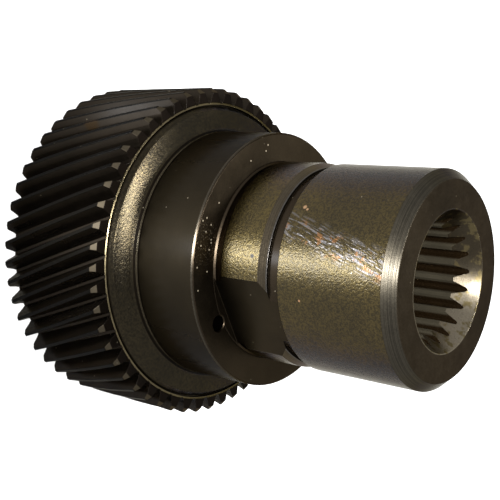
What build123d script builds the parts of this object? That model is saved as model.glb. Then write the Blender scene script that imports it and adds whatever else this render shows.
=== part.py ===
from build123d import *
import math
import os

# Transfer case input gear, one steel forging machined all over, in millimetres.
# +Z runs along the axis from the gear to the nose. The origin is the centre of the gear's rear face.
# The milled flat and its oil hole look towards -Y.

# Lengths along the axis, from the rear face to the nose
gear_width = 34.7
hub_length = 21.1
undercut_length = 2.5
journal_length = 12.7
relief_width = 3.65
nose_length = 28.95

# Outside of the shaft: each step outwards is measured from the journal
journal_radius = 25.0
journal_lead_length = 1.9
journal_lead_depth = 1.0
relief_depth = 1.65
undercut_depth = 0.6
undercut_sink = 0.1
undercut_corner = 0.45
undercut_flare = 0.15
hub_step = 7.1
hub_edge_chamfer = 0.45
hub_root_chamfer = 0.9
shoulder_width = 6.6
shoulder_height = 0.9
shoulder_rise = 1.0
shoulder_chamfer = 1.0
nose_chamfer_length = 2.55
nose_chamfer_depth = 2.27

# Helical teeth, left hand, on a rim that stands a little outside the shoulder
tooth_count = 53
root_setback = 0.75
dedendum = 2.15
addendum = 1.9
flank_foot_height = 0.85
root_flat_width = 0.72
helix_angle = 20.0
pressure_angle = 20.5
flank_clearance = 0.046
tip_chamfer = 1.3
first_tooth_angle = 4.3
rim_gap = 0.45
rim_gap_depth = 1.6

# Splined bore, lead-in cone and the plain bore behind the spline
spline_count = 21
spline_minor_radius = 12.8
spline_depth = 1.8
spline_root_rounding = 0.45
spline_flank_angle = 30.0
spline_tooth_width = 1.05
spline_length = 40.0
first_space_angle = 12.7
mouth_flare = 3.25
lead_in_angle = 30.0
cutter_overrun = 1.0
back_bore_clearance = 0.6
pilot_step = 2.8
pilot_depth = 24.0
pilot_chamfer = 1.0

# Flat milled on the journal, and the oil hole in front of it
flat_depth = 2.35
oil_hole_radius = 1.9
oil_hole_depth = 20.0
oil_hole_distance = 1.1
oil_hole_shift = 0.9
oil_hole_chamfer = 0.25

# Stations along the axis
hub_face = gear_width + hub_length
journal_start = hub_face + undercut_length
journal_end = journal_start + journal_length
nose_start = journal_end + relief_width
overall_length = nose_start + nose_length
shoulder_face = gear_width + shoulder_height
rim_gap_floor = gear_width - rim_gap_depth
undercut_floor = hub_face - undercut_sink
lead_in_depth = mouth_flare / math.tan(math.radians(lead_in_angle))
spline_front = overall_length - lead_in_depth
spline_back = spline_front - spline_length

# Radii, from the journal outwards and from the spline outwards
relief_radius = journal_radius - relief_depth
undercut_radius = journal_radius - undercut_depth
undercut_edge = undercut_radius + undercut_corner + undercut_flare
hub_radius = journal_radius + hub_step
shoulder_radius = hub_radius + shoulder_width
rim_radius = shoulder_radius + rim_gap
root_radius = shoulder_radius + root_setback
pitch_radius = root_radius + dedendum
tip_radius = pitch_radius + addendum
spline_major_radius = spline_minor_radius + spline_depth
mouth_radius = spline_minor_radius + mouth_flare
back_bore_radius = spline_major_radius + back_bore_clearance
pilot_radius = back_bore_radius + pilot_step

# Places of the flat and the oil hole
flat_level = journal_radius - flat_depth
oil_hole_offset = journal_radius + oil_hole_distance
drill_point = oil_hole_radius / math.tan(math.radians(59))

# Helix and involute flank of the gear teeth
helix_twist = math.degrees(gear_width * math.tan(math.radians(helix_angle)) / pitch_radius)
tooth_thickness = math.pi * pitch_radius / tooth_count - flank_clearance
base_radius = pitch_radius * math.cos(math.radians(pressure_angle))
foot_radius = root_radius + flank_foot_height


def involute(radius):
    slope = math.acos(base_radius / radius)
    return math.tan(slope) - slope


def half_tooth(radius):
    """Half the angle of a tooth at a radius, in degrees."""
    at_pitch = tooth_thickness / (2 * pitch_radius)
    return math.degrees(at_pitch + involute(pitch_radius) - involute(radius))


def polar(radius, degrees):
    return (radius * math.cos(math.radians(degrees)), radius * math.sin(math.radians(degrees)))


def corner(sketch, radius, height):
    """The corner of a half section that lies nearest to a radius and a height."""
    return sketch.vertices().sort_by_distance((radius, height, 0))[0]


# Section across the teeth, at the rear face
middle_radius = (foot_radius + tip_radius) / 2
pitch_step = 360 / tooth_count
root_half_angle = math.degrees(root_flat_width / (2 * root_radius))
with BuildSketch() as tooth_section:
    with BuildLine():
        for number in range(tooth_count):
            centre = first_tooth_angle + helix_twist + number * pitch_step
            space = centre + pitch_step / 2
            foot = half_tooth(foot_radius)
            middle = half_tooth(middle_radius)
            tip = half_tooth(tip_radius)
            flank_in = [polar(foot_radius, centre - foot), polar(middle_radius, centre - middle)]
            flank_out = [polar(middle_radius, centre + middle), polar(foot_radius, centre + foot)]
            tip_in = polar(tip_radius, centre - tip)
            tip_out = polar(tip_radius, centre + tip)
            root_in = polar(root_radius, space - root_half_angle)
            root_out = polar(root_radius, space + root_half_angle)
            next_foot = polar(foot_radius, centre + pitch_step - foot)
            Polyline(*flank_in, tip_in, tip_out, *flank_out, root_in, root_out, next_foot)
    make_face()

# Gear rim: the section twisted along the axis, then turned to its chamfers and to the rim gap
with BuildPart() as rim:
    add(
        Solid.extrude_linear_with_rotation(
            tooth_section.sketch.faces()[0], (0, 0, 0), (0, 0, gear_width), -helix_twist
        )
    )
    with BuildSketch(Plane.XZ):
        with BuildLine():
            Polyline(
                (0, 0),
                (tip_radius - tip_chamfer, 0),
                (tip_radius + tip_chamfer, 2 * tip_chamfer),
                (tip_radius + tip_chamfer, gear_width - 2 * tip_chamfer),
                (tip_radius - tip_chamfer, gear_width),
                (rim_radius, gear_width),
                (rim_radius, rim_gap_floor),
                (0, rim_gap_floor),
                close=True,
            )
        make_face()
    revolve(axis=Axis.Z, mode=Mode.INTERSECT)

# Shaft: shoulder, hub, undercut, journal and nose as one turned profile
with BuildSketch(Plane.XZ) as shaft_profile:
    with BuildLine():
        Polyline(
            (0, rim_gap_floor),
            (shoulder_radius, rim_gap_floor),
            (shoulder_radius, shoulder_face),
            (hub_radius, shoulder_face + shoulder_rise),
            (hub_radius, hub_face),
            (undercut_edge, hub_face),
            (undercut_edge - undercut_flare, undercut_floor),
            (undercut_radius, undercut_floor + undercut_corner),
            (undercut_radius, journal_start - undercut_depth),
            (journal_radius, journal_start),
            (journal_radius, journal_end - journal_lead_length),
            (journal_radius - journal_lead_depth, journal_end),
            (relief_radius, journal_end),
            (relief_radius, nose_start),
            (journal_radius, nose_start),
            (journal_radius, overall_length - nose_chamfer_length),
            (journal_radius - nose_chamfer_depth, overall_length),
            (0, overall_length),
            close=True,
        )
    make_face()
    chamfer(corner(shaft_profile, shoulder_radius, shoulder_face), length=shoulder_chamfer)
    chamfer(corner(shaft_profile, hub_radius, shoulder_face + shoulder_rise), length=hub_root_chamfer)
    chamfer(corner(shaft_profile, hub_radius, hub_face), length=hub_edge_chamfer)

# One space of the internal spline, its rounded root outwards
space_angle = 360 / spline_count
root_start = spline_major_radius - spline_root_rounding
flank_slope = math.tan(math.radians(spline_flank_angle))
minor_half_width = math.pi * spline_minor_radius / spline_count - spline_tooth_width / 2
root_half_width = minor_half_width - (root_start - spline_minor_radius) * flank_slope
inner_reach = spline_minor_radius - cutter_overrun
inner_half_width = minor_half_width + cutter_overrun * flank_slope
with BuildSketch() as spline_space:
    with BuildLine():
        Line((root_start, root_half_width), (inner_reach, inner_half_width))
        Line((inner_reach, inner_half_width), (inner_reach, -inner_half_width))
        Line((inner_reach, -inner_half_width), (root_start, -root_half_width))
        ThreePointArc(
            (root_start, -root_half_width), (spline_major_radius, 0), (root_start, root_half_width)
        )
    make_face()

# The whole gear
with BuildPart() as input_gear:
    add(rim.part)
    add(shaft_profile.sketch)
    revolve(axis=Axis.Z)

    # Bore: pilot at the gear end, plain bore, spline bore and the lead-in cone at the nose
    with BuildSketch(Plane.XZ):
        with BuildLine():
            Polyline(
                (0, 0),
                (pilot_radius + pilot_chamfer, 0),
                (pilot_radius, pilot_chamfer),
                (pilot_radius, pilot_depth),
                (back_bore_radius, pilot_depth),
                (back_bore_radius, spline_back),
                (spline_minor_radius, spline_back),
                (spline_minor_radius, spline_front),
                (mouth_radius, overall_length),
                (0, overall_length),
                close=True,
            )
        make_face()
    revolve(axis=Axis.Z, mode=Mode.SUBTRACT)

    # Spline spaces, open to the plain bore behind and to the cone in front
    with BuildSketch(Plane.XY.offset(spline_back)):
        with PolarLocations(0, spline_count, start_angle=first_space_angle):
            add(spline_space.sketch)
    extrude(amount=overall_length - spline_back, mode=Mode.SUBTRACT)

    # Flat milled through the journal and the relief, from the nose back to the hub face
    with BuildSketch(Plane.XY.offset(hub_face)):
        with Locations((0, -flat_level)):
            Rectangle(2 * hub_radius, hub_radius, align=(Align.CENTER, Align.MAX))
    extrude(amount=nose_start - hub_face, mode=Mode.SUBTRACT)

    # Oil hole from the hub face, with a drill point, a little to one side of the middle of the flat
    hole_axis = Axis((oil_hole_shift, -oil_hole_offset, 0), (0, 0, 1))
    with BuildSketch(Plane.XZ.offset(oil_hole_offset)):
        with BuildLine():
            Polyline(
                (oil_hole_shift, journal_start),
                (oil_hole_shift + oil_hole_radius + oil_hole_chamfer, journal_start),
                (oil_hole_shift + oil_hole_radius + oil_hole_chamfer, hub_face),
                (oil_hole_shift + oil_hole_radius, hub_face - oil_hole_chamfer),
                (oil_hole_shift + oil_hole_radius, hub_face - oil_hole_depth),
                (oil_hole_shift, hub_face - oil_hole_depth - drill_point),
                close=True,
            )
        make_face()
    revolve(axis=hole_axis, mode=Mode.SUBTRACT)

input_gear.part.label = "input_gear"
os.makedirs("parts", exist_ok=True)
export_step(input_gear.part, "parts/input_gear.step")
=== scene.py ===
import bpy
import math
from mathutils import Matrix, Vector

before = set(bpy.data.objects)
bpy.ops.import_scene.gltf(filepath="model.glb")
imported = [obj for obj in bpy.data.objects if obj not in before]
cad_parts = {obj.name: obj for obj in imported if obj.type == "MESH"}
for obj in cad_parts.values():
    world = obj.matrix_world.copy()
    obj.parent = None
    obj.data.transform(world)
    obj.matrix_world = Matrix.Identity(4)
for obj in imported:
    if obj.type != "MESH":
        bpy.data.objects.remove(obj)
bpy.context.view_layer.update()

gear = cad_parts["input_gear"]
MM = 0.001

# Stations on the shaft, in metres from the gear's rear face
RIM_FRONT = 34.7 * MM
HUB_ROOT = 36.6 * MM
HUB_FACE = 55.8 * MM
JOURNAL_START = 58.3 * MM
LEAD_START = 69.1 * MM
GROOVE_START = 71.0 * MM
NOSE_START = 74.65 * MM
NOSE_CHAMFER = 101.05 * MM
NOSE_FACE = 103.6 * MM
CONE_DEPTH = 5.7 * MM

# Radii from the shaft's axis, in metres
SPLINE_MIDDLE = 13.6 * MM
BORE_EDGE = 16.2 * MM
LEAD_EDGE = 23.85 * MM
JOURNAL_RADIUS = 25.0 * MM
HUB_RADIUS = 32.1 * MM
SHOULDER_INSIDE = 33.0 * MM
RIM_INSIDE = 39.0 * MM
TOOTH_LAND = 43.35 * MM

# Oil hole: its axis, how far from the axis its painted shade reaches, and the painted shade's lower end
OIL_HOLE_AXIS = (0.9 * MM, -26.1 * MM, 0.0)
HOLE_TINT_REACH = 3.6 * MM
HOLE_TINT_END = 30 * MM

# Scuffed band on the nose: where it starts along and around it, and how it slants
SCUFF_STATION = 75.7 * MM
SCUFF_AROUND = -63.84 * MM
SCUFF_SLANT = 0.2836
STREAK_COSINE = 0.94
STREAK_SINE = 0.34
STREAK_STRETCH = 0.10

# The side of the lead-in cone that gets painted shade, as a direction across the axis; the opposite side
# gets a painted highlight
PAINTED_SHADE_SIDE = (-0.64, 0.77)

# Heights of the bump, in metres, and the slope of the rim's inner edge
GRAIN_HEIGHT = 0.010 * MM
TURNING_HEIGHT = 0.02 * MM
DISH_HEIGHT = 1.98 * MM
BEAD_HEIGHT = 0.10 * MM
SCRATCH_DEPTH = -0.04 * MM
OIL_HEIGHT = 0.16 * MM
RIM_EDGE_SLOPE = 0.8

# Film of oil: how much of the coat lies on the plain, the worked and the wet surfaces
THIN_FILM = 0.055
WORKED_FILM = 0.22
WET_FILM = 0.9

# Marks: radius in mm, degrees from +X, height in mm, reach in mm and colour
COPPER = (0.20, 0.12, 0.065, 1)
MARKS = (
    (25.0, -157.3, 77.7, 0.6, COPPER),
    (25.0, -156.0, 78.6, 0.4, COPPER),
    (25.0, -108.5, 80.6, 0.35, (0.20, 0.11, 0.055, 1)),
    (25.0, -128.1, 67.2, 0.6, (0.004, 0.003, 0.002, 1)),
    (43.4, -168.0, 16.0, 2.8, (0.017, 0.0105, 0.0048, 1)),
    (43.5, -133.5, 7.4, 0.6, (0.16, 0.14, 0.11, 1)),
)

# Specks on the hub's face: radius in mm and degrees from +X
HUB_FACE_HEIGHT = 55.8
SPECK_REACH = 0.27 * MM
SPECKS = (
    (30.9, -140.3), (29.9, -142.3), (27.9, -140.3), (29.0, -136.3), (29.8, -129.6),
    (26.8, -128.4), (26.5, -132.0), (30.4, -120.0), (27.0, -117.6), (30.3, -109.8),
    (27.9, -151.9), (27.8, 177.1), (28.2, 164.4), (29.5, 162.4), (26.7, -133.5),
)
CLOUD_PLACE = (28.3, -131.0)
CLOUD_REACH = 6.5 * MM

# Room and camera
ROOM_LIGHT = 0.75
FLOOR_HALF = 6
CAMERA_PLACE = (-0.112806, -0.145956, 0.195881)
CAMERA_RIGHT = (0.282022, 0.571471, 0.770639)
CAMERA_UP = (-0.83687, 0.539326, -0.09368)
CAMERA_BACK = (-0.469161, -0.618505, 0.630349)
CAMERA_LENS = 65.681


class Shade:
    """Adds nodes to one material. Each call returns the new node's output socket."""

    def __init__(self, name):
        self.material = bpy.data.materials.new(name)
        self.material.use_nodes = True
        self.nodes = self.material.node_tree.nodes
        self.links = self.material.node_tree.links
        self.surface = self.nodes["Principled BSDF"]

    def put(self, socket, value):
        if isinstance(value, bpy.types.NodeSocket):
            self.links.new(value, socket)
        else:
            socket.default_value = value

    def math(self, operation, *values):
        node = self.nodes.new("ShaderNodeMath")
        node.operation = operation
        for socket, value in zip(node.inputs, values):
            self.put(socket, value)
        return node.outputs[0]

    def add(self, *values):
        total = values[0]
        for value in values[1:]:
            total = self.math("ADD", total, value)
        return total

    def times(self, *values):
        product = values[0]
        for value in values[1:]:
            product = self.math("MULTIPLY", product, value)
        return product

    def most(self, *values):
        top = values[0]
        for value in values[1:]:
            top = self.math("MAXIMUM", top, value)
        return top

    def less(self, value, taken):
        return self.math("SUBTRACT", value, taken)

    def rest(self, share):
        """What a share leaves of 1."""
        return self.less(1.0, share)

    def size(self, value):
        """The number without its sign."""
        return self.math("ABSOLUTE", value)

    def ramp(self, value, start, end, low=0.0, high=1.0):
        """low up to start, high from end on, and a smooth change between them."""
        node = self.nodes.new("ShaderNodeMapRange")
        node.interpolation_type = "SMOOTHSTEP"
        limits = (("From Min", start), ("From Max", end), ("To Min", low), ("To Max", high))
        for name, number in limits:
            self.put(node.inputs[name], number)
        self.put(node.inputs["Value"], value)
        return node.outputs["Result"]

    def fall(self, value, start, end):
        """1 up to start and 0 from end on."""
        return self.ramp(value, start, end, 1.0, 0.0)

    def band(self, value, start, end, soft=0.05 * MM):
        """1 between start and end, 0 outside."""
        rise = self.ramp(value, start - soft, start + soft)
        return self.times(rise, self.fall(value, end - soft, end + soft))

    def mix(self, share, first, second):
        """The colour first where share is 0, second where it is 1."""
        node = self.nodes.new("ShaderNodeMix")
        node.data_type = "RGBA"
        self.put(node.inputs["Factor"], share)
        self.put(node.inputs["A"], first)
        self.put(node.inputs["B"], second)
        return node.outputs["Result"]

    def blend(self, share, first, second):
        """The number first where share is 0, second where it is 1."""
        node = self.nodes.new("ShaderNodeMix")
        self.put(node.inputs["Factor"], share)
        self.put(node.inputs["A"], first)
        self.put(node.inputs["B"], second)
        return node.outputs["Result"]

    def scale_colour(self, colour, factor):
        node = self.nodes.new("ShaderNodeVectorMath")
        node.operation = "SCALE"
        self.put(node.inputs[0], colour)
        self.put(node.inputs["Scale"], factor)
        return node.outputs[0]

    def split(self, vector):
        node = self.nodes.new("ShaderNodeSeparateXYZ")
        self.links.new(vector, node.inputs[0])
        return node.outputs

    def combine(self, x, y, z):
        node = self.nodes.new("ShaderNodeCombineXYZ")
        for socket, value in zip(node.inputs, (x, y, z)):
            self.put(socket, value)
        return node.outputs[0]

    def noise(self, place, scale, detail=2.0, rough=0.5):
        node = self.nodes.new("ShaderNodeTexNoise")
        self.put(node.inputs["Vector"], place)
        node.inputs["Scale"].default_value = scale
        node.inputs["Detail"].default_value = detail
        node.inputs["Roughness"].default_value = rough
        return node.outputs["Fac"]

    def spots(self, place, scale):
        """Distance to the nearest scattered point, in cells, and a random number for each point."""
        node = self.nodes.new("ShaderNodeTexVoronoi")
        self.put(node.inputs["Vector"], place)
        node.inputs["Scale"].default_value = scale
        parts = self.nodes.new("ShaderNodeSeparateColor")
        self.links.new(node.outputs["Color"], parts.inputs[0])
        return node.outputs["Distance"], parts.outputs[0]

    def near(self, place, centre, reach):
        """1 up to half of reach from a point, fading to 0 at reach."""
        node = self.nodes.new("ShaderNodeVectorMath")
        node.operation = "DISTANCE"
        self.put(node.inputs[0], place)
        node.inputs[1].default_value = centre
        return self.fall(node.outputs["Value"], reach * 0.5, reach)


def on_gear(radius, degrees, height):
    """A point in metres from a radius and a height in millimetres and an angle from +X."""
    angle = math.radians(degrees)
    return (radius * MM * math.cos(angle), radius * MM * math.sin(angle), height * MM)


# Steel: one material, whose zones follow the machined surfaces
s = Shade("oiled_dark_steel")
place = s.nodes.new("ShaderNodeTexCoord").outputs["Object"]
x, y, z = s.split(place)
facing = s.split(s.nodes.new("ShaderNodeNewGeometry").outputs["True Normal"])
upwards = facing["Z"]
radius = s.math("SQRT", s.add(s.times(x, x), s.times(y, y)))
around = s.times(s.math("ARCTAN2", y, x), JOURNAL_RADIUS)
turned = s.combine(radius, 0.0, z)
endwise = s.ramp(s.size(upwards), 0.9, 0.97)

# Zones inside the bore
bore = s.fall(radius, BORE_EDGE, BORE_EDGE + 0.1 * MM)
mouth = s.times(bore, s.band(z, NOSE_FACE - CONE_DEPTH, NOSE_FACE + 1 * MM), s.ramp(upwards, 0.3, 0.45))
spline = s.times(bore, s.rest(mouth))
spaces = s.times(spline, s.ramp(radius, SPLINE_MIDDLE - 0.5 * MM, SPLINE_MIDDLE + 0.1 * MM))
outside = s.rest(bore)

# Zones of the gear rim, with the ring inside its teeth, whose light gold tint is a painted highlight
rim = s.times(
    s.ramp(radius, RIM_INSIDE - 0.1 * MM, RIM_INSIDE + 0.1 * MM),
    s.band(z, -1 * MM, RIM_FRONT + 0.1 * MM),
)
land = s.times(rim, s.ramp(radius, TOOTH_LAND - 0.1 * MM, TOOTH_LAND))
tip_facet = s.times(rim, s.rest(land), s.ramp(s.size(upwards), 0.55, 0.65))
rim_front = s.times(rim, s.ramp(z, RIM_FRONT - 0.05 * MM, RIM_FRONT - 0.02 * MM))
rim_ring_painted_highlight = s.times(rim_front, s.fall(radius, RIM_INSIDE + 0.55 * MM, RIM_INSIDE + 0.75 * MM))

# Zones of the shoulder and the hub, with painted shade at the hub's root and a painted highlight line
# inside it
shoulder = s.times(s.band(z, RIM_FRONT + 0.1 * MM, HUB_ROOT + 0.22 * MM), s.rest(rim), outside)
# Hub's root: a dark band of painted shade, and a light line of painted highlight in its middle
hub_root_painted_shade = s.times(s.band(z, HUB_ROOT + 0.3 * MM, HUB_ROOT + 1.8 * MM, 0.1 * MM), outside)
root_line_painted_highlight = s.times(s.band(z, HUB_ROOT + 0.8 * MM, HUB_ROOT + 1.2 * MM, 0.12 * MM), outside)
# The hub's edge chamfer, lightened as a painted highlight
hub_edge_painted_highlight = s.times(
    s.band(z, HUB_FACE - 0.5 * MM, HUB_FACE - 0.03 * MM),
    s.ramp(radius, HUB_RADIUS - 0.6 * MM, HUB_RADIUS - 0.5 * MM),
)
hub_face = s.times(s.band(z, HUB_FACE - 0.2 * MM, HUB_FACE + 0.1 * MM), endwise, outside)
undercut = s.times(outside, s.band(z, HUB_FACE - 0.2 * MM, JOURNAL_START), s.rest(endwise))
# Inside the oil hole: a dark tint that is painted shade
oil_hole_painted_shade = s.times(
    s.near(s.combine(x, y, 0.0), OIL_HOLE_AXIS, HOLE_TINT_REACH),
    s.band(z, HOLE_TINT_END, HUB_FACE - 0.3 * MM),
)

# Zones of the journal, the relief groove and the nose
ground = s.fall(s.size(s.less(radius, JOURNAL_RADIUS)), 0.03 * MM, 0.08 * MM)
journal = s.times(ground, s.band(z, JOURNAL_START, LEAD_START))
nose = s.times(ground, s.band(z, NOSE_START, NOSE_CHAMFER))
lead = s.times(outside, s.band(z, LEAD_START, GROOVE_START), s.ramp(upwards, 0.2, 0.3))
lead_edge = s.times(
    outside,
    s.band(z, GROOVE_START - 0.25 * MM, GROOVE_START + 0.1 * MM),
    s.ramp(radius, LEAD_EDGE - 0.05 * MM, LEAD_EDGE + 0.05 * MM),
)
groove = s.times(outside, s.band(z, GROOVE_START, NOSE_START), s.rest(ground))
nose_chamfer = s.times(outside, s.band(z, NOSE_CHAMFER, NOSE_FACE - 0.05 * MM))
nose_face = s.times(outside, s.ramp(z, NOSE_FACE - 0.05 * MM, NOSE_FACE - 0.02 * MM))
flat = s.times(
    s.band(z, HUB_FACE + 0.05 * MM, NOSE_START),
    s.ramp(s.times(facing["Y"], -1.0), 0.98, 0.995),
    outside,
)
worked = s.most(journal, nose, shoulder)
lines_zone = s.most(nose_chamfer, lead)

# Noises, from a fine grain to broad changes, and lines that run round the axis
fine = s.noise(place, 2600, 2.0, 0.6)
grit = s.noise(place, 1500, 2.0, 0.7)
middle = s.noise(place, 420, 3.0, 0.6)
broad = s.noise(place, 55, 3.0, 0.55)
lathe = s.noise(turned, 5400, 2.0, 0.7)

# Colours of the zones under a film of gear oil
painted_shade_across = s.add(s.times(x, PAINTED_SHADE_SIDE[0]), s.times(y, PAINTED_SHADE_SIDE[1]))
# Lead-in cone: a light tint on one side is a painted highlight and a dark tint on the other is painted
# shade; the noise patches over it are stains
cone_stains_and_painted_light = s.mix(s.ramp(painted_shade_across, -3 * MM, 10 * MM), (0.17, 0.145, 0.105, 1), (0.040, 0.031, 0.018, 1))
cone_stains_and_painted_light = s.mix(s.ramp(middle, 0.52, 0.62), cone_stains_and_painted_light, (0.10, 0.078, 0.036, 1))
colour = s.mix(outside, (0.0, 0.0, 0.0, 1), (0.0105, 0.0080, 0.0046, 1))
for zone, tint in (
    (spline, (0.058, 0.050, 0.034, 1)),
    (spaces, (0.013, 0.0075, 0.0030, 1)),
    # the lead-in cone, with its painted highlight, painted shade and stains
    (mouth, cone_stains_and_painted_light),
    (rim, (0.0135, 0.0105, 0.0074, 1)),
    (land, (0.0036, 0.0031, 0.0024, 1)),
    (tip_facet, (0.050, 0.041, 0.028, 1)),
    (rim_front, (0.0075, 0.0055, 0.0040, 1)),
    # the ring inside the teeth: a painted highlight along the rim's inner edge
    (rim_ring_painted_highlight, (0.135, 0.110, 0.062, 1)),
    (shoulder, (0.0235, 0.0180, 0.0086, 1)),
    # painted shade at the hub's root and a painted highlight line in it
    (hub_root_painted_shade, (0.0050, 0.0036, 0.0022, 1)),
    (root_line_painted_highlight, (0.085, 0.070, 0.045, 1)),
    # painted highlight on the hub's edge chamfer
    (hub_edge_painted_highlight, (0.055, 0.047, 0.035, 1)),
    (hub_face, (0.036, 0.0275, 0.0175, 1)),
    (undercut, (0.030, 0.022, 0.014, 1)),
    (journal, (0.0275, 0.0196, 0.0052, 1)),
    (nose, (0.0212, 0.0150, 0.0038, 1)),
    (lead, (0.054, 0.043, 0.028, 1)),
    (lead_edge, (0.085, 0.078, 0.070, 1)),
    (groove, (0.014, 0.010, 0.006, 1)),
    (nose_chamfer, (0.046, 0.040, 0.029, 1)),
    (nose_face, (0.036, 0.029, 0.0200, 1)),
    (flat, (0.0160, 0.0125, 0.0078, 1)),
    # painted shade inside the oil hole
    (oil_hole_painted_shade, (0.0030, 0.0022, 0.0015, 1)),
):
    colour = s.mix(zone, colour, tint)

# Grain: speckled on the worked surfaces, quiet elsewhere, and lined on the chamfers
speckle = s.ramp(s.add(s.times(fine, 0.6), s.times(grit, 0.4)), 0.41, 0.59, 0.62, 1.45)
quiet = s.add(0.65, s.times(fine, 0.5), s.times(middle, 0.2))
grain = s.times(s.blend(worked, quiet, speckle), s.ramp(broad, 0.3, 0.7, 0.82, 1.15))
grain = s.times(grain, s.blend(lines_zone, 1.0, s.ramp(lathe, 0.42, 0.58, 0.75, 1.3)))
colour = s.scale_colour(colour, grain)

# Scuffed band along the nose, with flecks of rust in it
along = s.add(s.times(z, STREAK_COSINE), s.times(around, STREAK_SINE))
across = s.add(s.times(around, STREAK_COSINE), s.times(z, -STREAK_SINE))
streaks = s.noise(s.combine(s.times(along, STREAK_STRETCH), across, 0.0), 1700, 2.0, 0.6)
band_middle = s.add(s.times(s.less(z, SCUFF_STATION), SCUFF_SLANT), SCUFF_AROUND)
off_band = s.size(s.less(around, band_middle))
scuffed = s.times(
    nose,
    s.fall(off_band, 1.2 * MM, 4.6 * MM),
    s.ramp(streaks, 0.47, 0.60),
    s.ramp(middle, 0.38, 0.52),
)
rusty = s.times(
    nose,
    s.fall(off_band, 1.0 * MM, 4.0 * MM),
    s.ramp(middle, 0.57, 0.66),
    s.ramp(streaks, 0.35, 0.5),
)
colour = s.mix(s.times(scuffed, 0.9), colour, (0.085, 0.080, 0.080, 1))
colour = s.mix(s.times(rusty, 0.8), colour, (0.105, 0.046, 0.014, 1))

# Nicks and a rust patch, then specks on the hub's face and a few more all over
for mark_radius, mark_degrees, mark_height, reach, tint in MARKS:
    centre = on_gear(mark_radius, mark_degrees, mark_height)
    colour = s.mix(s.near(place, centre, reach * MM), colour, tint)
specks = 0.0
for speck_radius, speck_degrees in SPECKS:
    centre = on_gear(speck_radius, speck_degrees, HUB_FACE_HEIGHT)
    specks = s.most(s.near(place, centre, SPECK_REACH), specks)
cloud = s.times(
    hub_face,
    s.near(place, on_gear(*CLOUD_PLACE, HUB_FACE_HEIGHT), CLOUD_REACH),
    s.ramp(fine, 0.60, 0.64),
)
distance, chance = s.spots(place, 620)
dust = s.times(s.fall(distance, 0.06, 0.12), s.ramp(chance, 0.90, 0.92), outside)
light_specks = s.most(specks, s.times(dust, 0.55), s.times(cloud, 0.8))
colour = s.mix(light_specks, colour, (0.26, 0.22, 0.155, 1))

# Roughness of the zones, broken up by the oil film
rough = s.blend(rim, 0.60, 0.50)
for zone, amount in (
    (journal, 0.31),
    (nose, 0.31),
    (shoulder, 0.20),
    (hub_face, 0.42),
    (undercut, 0.30),
    (spline, 0.35),
    (spaces, 0.16),
    (mouth, 0.30),
    (lead, 0.32),
    (nose_chamfer, 0.31),
    (nose_face, 0.42),
    (flat, 0.45),
    (rim_ring_painted_highlight, 0.28),
    (hub_edge_painted_highlight, 0.26),
    (root_line_painted_highlight, 0.28),
):
    rough = s.blend(zone, rough, amount)
patchy = s.times(s.less(middle, 0.5), 0.12)
grainy_gloss = s.times(s.less(fine, 0.5), 0.10)
rough = s.add(rough, patchy, grainy_gloss)
film = s.blend(s.most(worked, lines_zone, mouth), THIN_FILM, WORKED_FILM)
film = s.blend(spaces, film, WET_FILM)

# Bump: grain, turning lines, shoulder's dish, hub root's bead, rim edge's tilt, scratches and wet oil
grainy = s.add(
    0.5,
    s.times(journal, 5.0),
    s.times(nose, 5.0),
    s.times(shoulder, 2.6),
    s.times(hub_face, 1.2),
    s.times(scuffed, 2.5),
)
lined = s.most(
    s.times(nose_chamfer, 1.7),
    s.times(lead, 1.2),
    s.times(nose_face, 0.5),
    s.times(mouth, 0.8),
    s.times(hub_face, 0.2),
)
dish = s.fall(s.most(radius, SHOULDER_INSIDE), JOURNAL_RADIUS, RIM_INSIDE - 0.1 * MM)
height = s.add(
    s.times(s.add(fine, grit), grainy, GRAIN_HEIGHT),
    s.times(lathe, lined, TURNING_HEIGHT),
    s.times(dish, DISH_HEIGHT),
    s.times(root_line_painted_highlight, BEAD_HEIGHT),
    s.times(s.less(RIM_INSIDE, radius), rim_ring_painted_highlight, RIM_EDGE_SLOPE),
    s.times(streaks, scuffed, SCRATCH_DEPTH),
    s.times(s.add(middle, grit), spaces, OIL_HEIGHT),
)
soft_edge = s.nodes.new("ShaderNodeBevel")
soft_edge.samples = 6
s.put(soft_edge.inputs["Radius"], s.blend(shoulder, 0.22 * MM, 0.4 * MM))
bump = s.nodes.new("ShaderNodeBump")
bump.inputs["Strength"].default_value = 1.0
bump.inputs["Distance"].default_value = 1.0
s.put(bump.inputs["Height"], height)
s.links.new(soft_edge.outputs[0], bump.inputs["Normal"])

s.put(s.surface.inputs["Base Color"], colour)
s.put(s.surface.inputs["Metallic"], s.blend(s.most(spline, specks), 1.0, 0.15))
s.put(s.surface.inputs["Roughness"], rough)
s.put(s.surface.inputs["Coat Weight"], film)
s.surface.inputs["Specular Tint"].default_value = (0.36, 0.335, 0.255, 1)
s.surface.inputs["Coat Roughness"].default_value = 0.24
s.surface.inputs["Coat IOR"].default_value = 1.45
s.links.new(bump.outputs[0], s.surface.inputs["Normal"])
s.links.new(bump.outputs[0], s.surface.inputs["Coat Normal"])
gear.data.materials.clear()
gear.data.materials.append(s.material)

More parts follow.
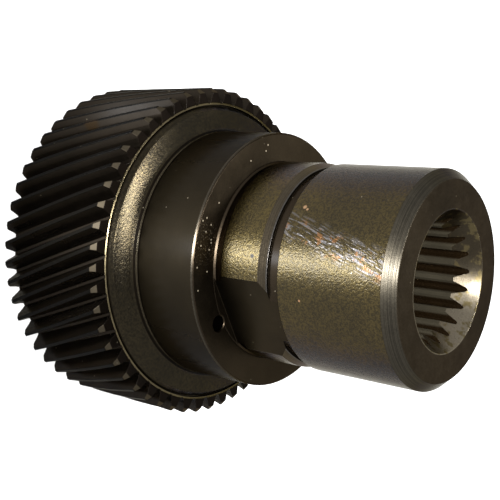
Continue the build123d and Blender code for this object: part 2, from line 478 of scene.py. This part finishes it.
# Floor
white = Shade("white_floor")
white.surface.inputs["Base Color"].default_value = (0.93, 0.93, 0.93, 1)
white.surface.inputs["Roughness"].default_value = 0.9
floor_mesh = bpy.data.meshes.new("floor")
floor_corners = [(-1, -1), (1, -1), (1, 1), (-1, 1)]
floor_mesh.from_pydata([(a * FLOOR_HALF, b * FLOOR_HALF, 0) for a, b in floor_corners], [], [(0, 1, 2, 3)])
floor = bpy.data.objects.new("floor", floor_mesh)
bpy.context.scene.collection.objects.link(floor)
floor_mesh.materials.append(white.material)

# Light: a pale room, a box overhead, a box behind the camera, and a strip near the floor under it
world = bpy.data.worlds.new("world")
bpy.context.scene.world = world
world.use_nodes = True
background = world.node_tree.nodes["Background"]
background.inputs["Color"].default_value = (1, 1, 1, 1)
background.inputs["Strength"].default_value = ROOM_LIGHT


def soft_box(name, where, rotation, width, length, watts, tone=(1, 1, 1)):
    """A rectangular light, in metres, that the camera doesn't see."""
    data = bpy.data.lights.new(name, "AREA")
    data.shape = "RECTANGLE"
    data.size = width
    data.size_y = length
    data.energy = watts
    data.color = tone
    box = bpy.data.objects.new(name, data)
    bpy.context.scene.collection.objects.link(box)
    box.visible_camera = False
    box.location = where
    box.rotation_euler = rotation


soft_box(
    "low_strip",
    where=(-0.0962, -0.1188, 0.003),
    rotation=(math.pi, 0, math.radians(-39)),
    width=0.020,
    length=0.112,
    watts=0.60,
    tone=(0.96, 1.0, 1.06),
)
soft_box(
    "top_box",
    where=(-0.038, 0.120, 0.58),
    rotation=(0, 0, math.radians(7)),
    width=0.036,
    length=0.25,
    watts=3.1,
)
behind_camera = Vector((-0.30, -0.33, 0.52))
aimed_at = Vector((0.0, 0.0, 0.05))
towards_gear = (behind_camera - aimed_at).to_track_quat("Z", "Y").to_euler()
soft_box("camera_box", where=behind_camera, rotation=towards_gear, width=0.11, length=0.11, watts=6.0)

# Camera: the photograph's view, from the nose side, rolled so that the axis lies across the picture
camera_data = bpy.data.cameras.new("camera")
camera_data.sensor_width = 36
camera_data.sensor_fit = "HORIZONTAL"
camera_data.lens = CAMERA_LENS
camera_data.clip_start = 0.01
camera_data.clip_end = 50
camera = bpy.data.objects.new("camera", camera_data)
bpy.context.scene.collection.objects.link(camera)
camera_turn = Matrix((CAMERA_RIGHT, CAMERA_UP, CAMERA_BACK)).transposed().to_4x4()
camera.matrix_world = Matrix.Translation(Vector(CAMERA_PLACE)) @ camera_turn
bpy.context.scene.camera = camera
bpy.context.scene.view_settings.view_transform = "Standard"
